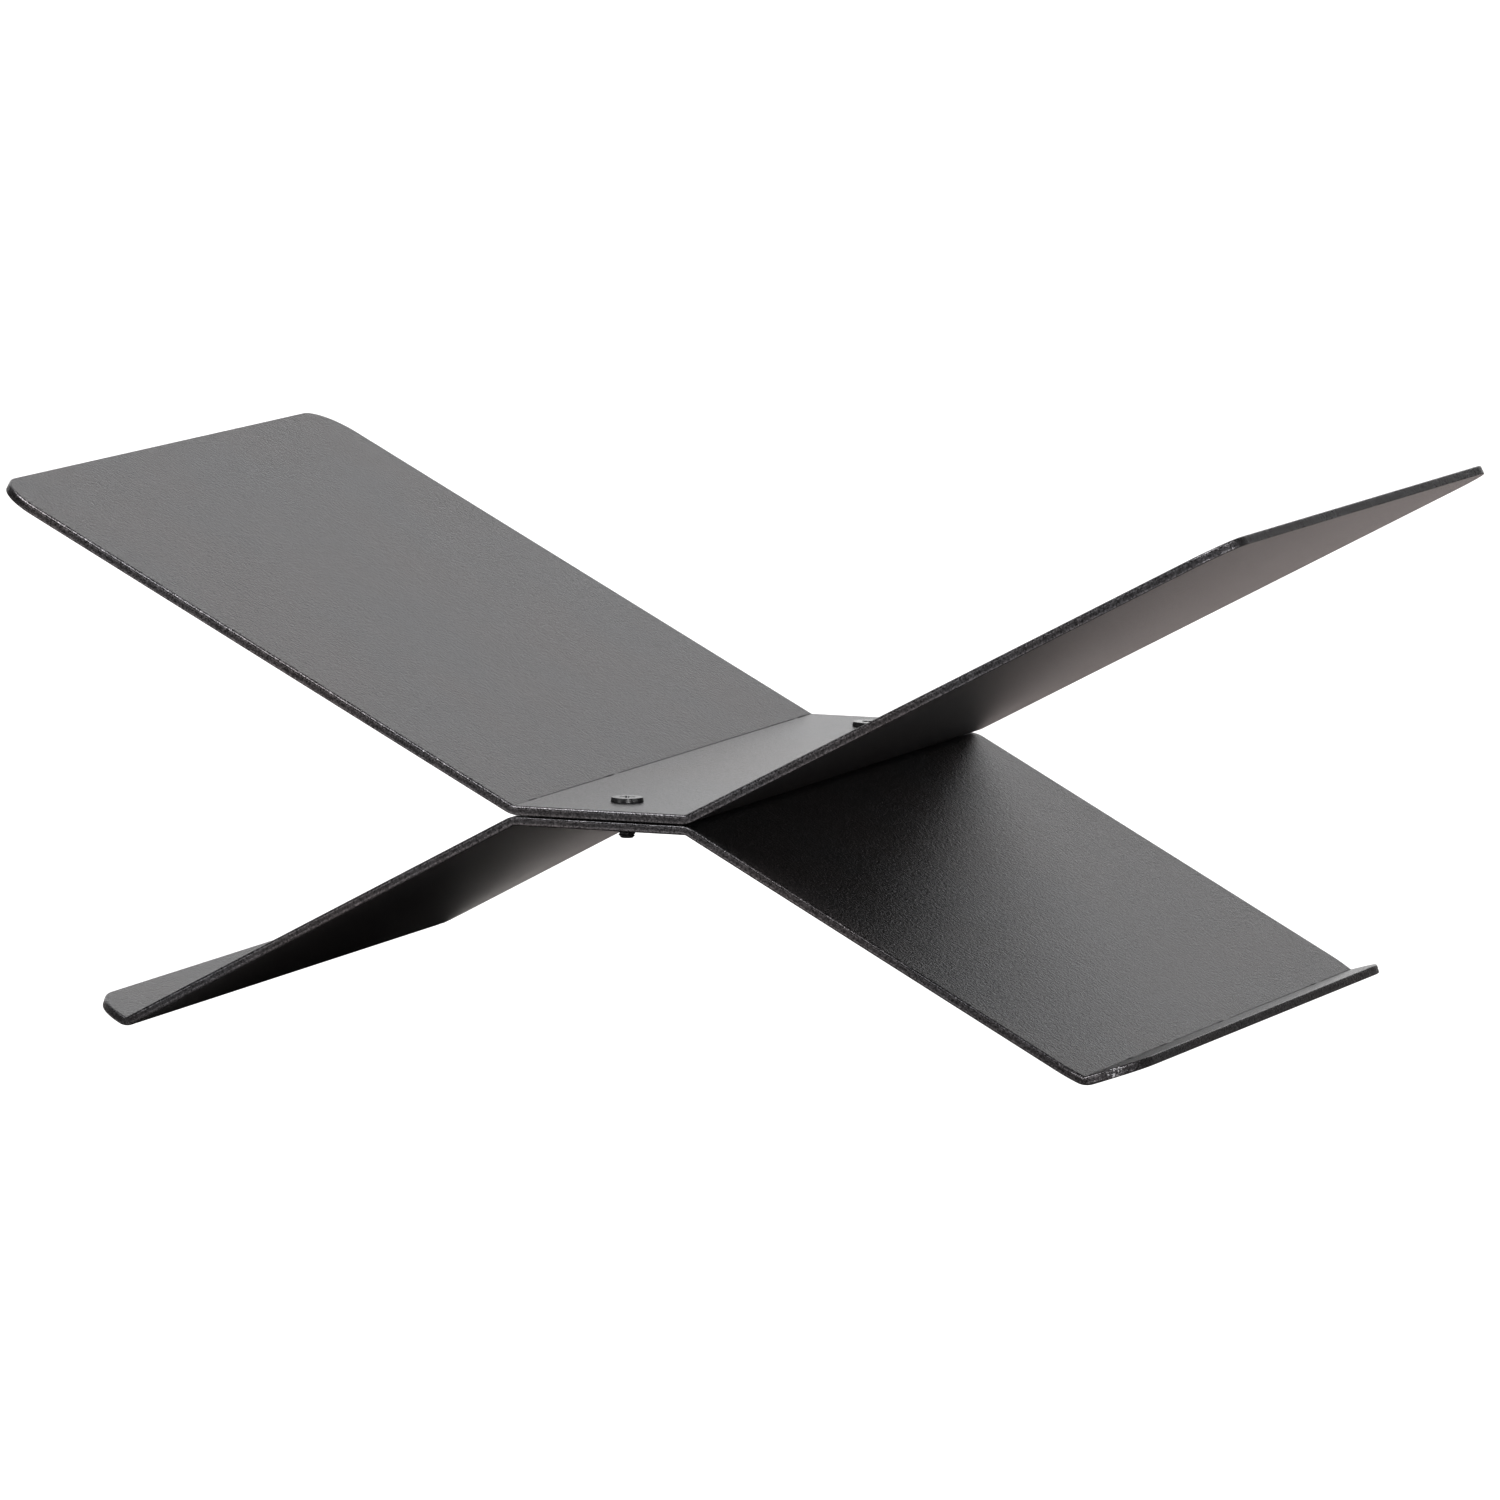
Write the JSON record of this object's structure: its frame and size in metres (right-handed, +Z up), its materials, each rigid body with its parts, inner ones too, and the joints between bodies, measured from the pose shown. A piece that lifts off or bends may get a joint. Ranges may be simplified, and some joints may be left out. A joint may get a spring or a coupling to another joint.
{
  "type": "book stand",
  "caption": "Low X-shaped book stand: a bent sheet with two rising wings, screwed back to back on a bent sheet with two legs and upturned foot flanges.",
  "frame": {"origin": "on the surface the stand rests on, under the middle of the stand", "axes": "+X to the right across both wings, +Y away from the front edge, +Z up"},
  "size_m": [0.3824, 0.25, 0.1583],
  "materials": {
    "coat_upper": "fine-textured matt charcoal powder coat",
    "coat_lower": "fine-textured matt charcoal powder coat",
    "screw": "blackened steel, satin"
  },
  "bodies": {
    "root": {"upper_plate": "coat_upper", "lower_plate": "coat_lower", "screw_front": "screw", "screw_rear": "screw"}
  },
  "joints": []
}
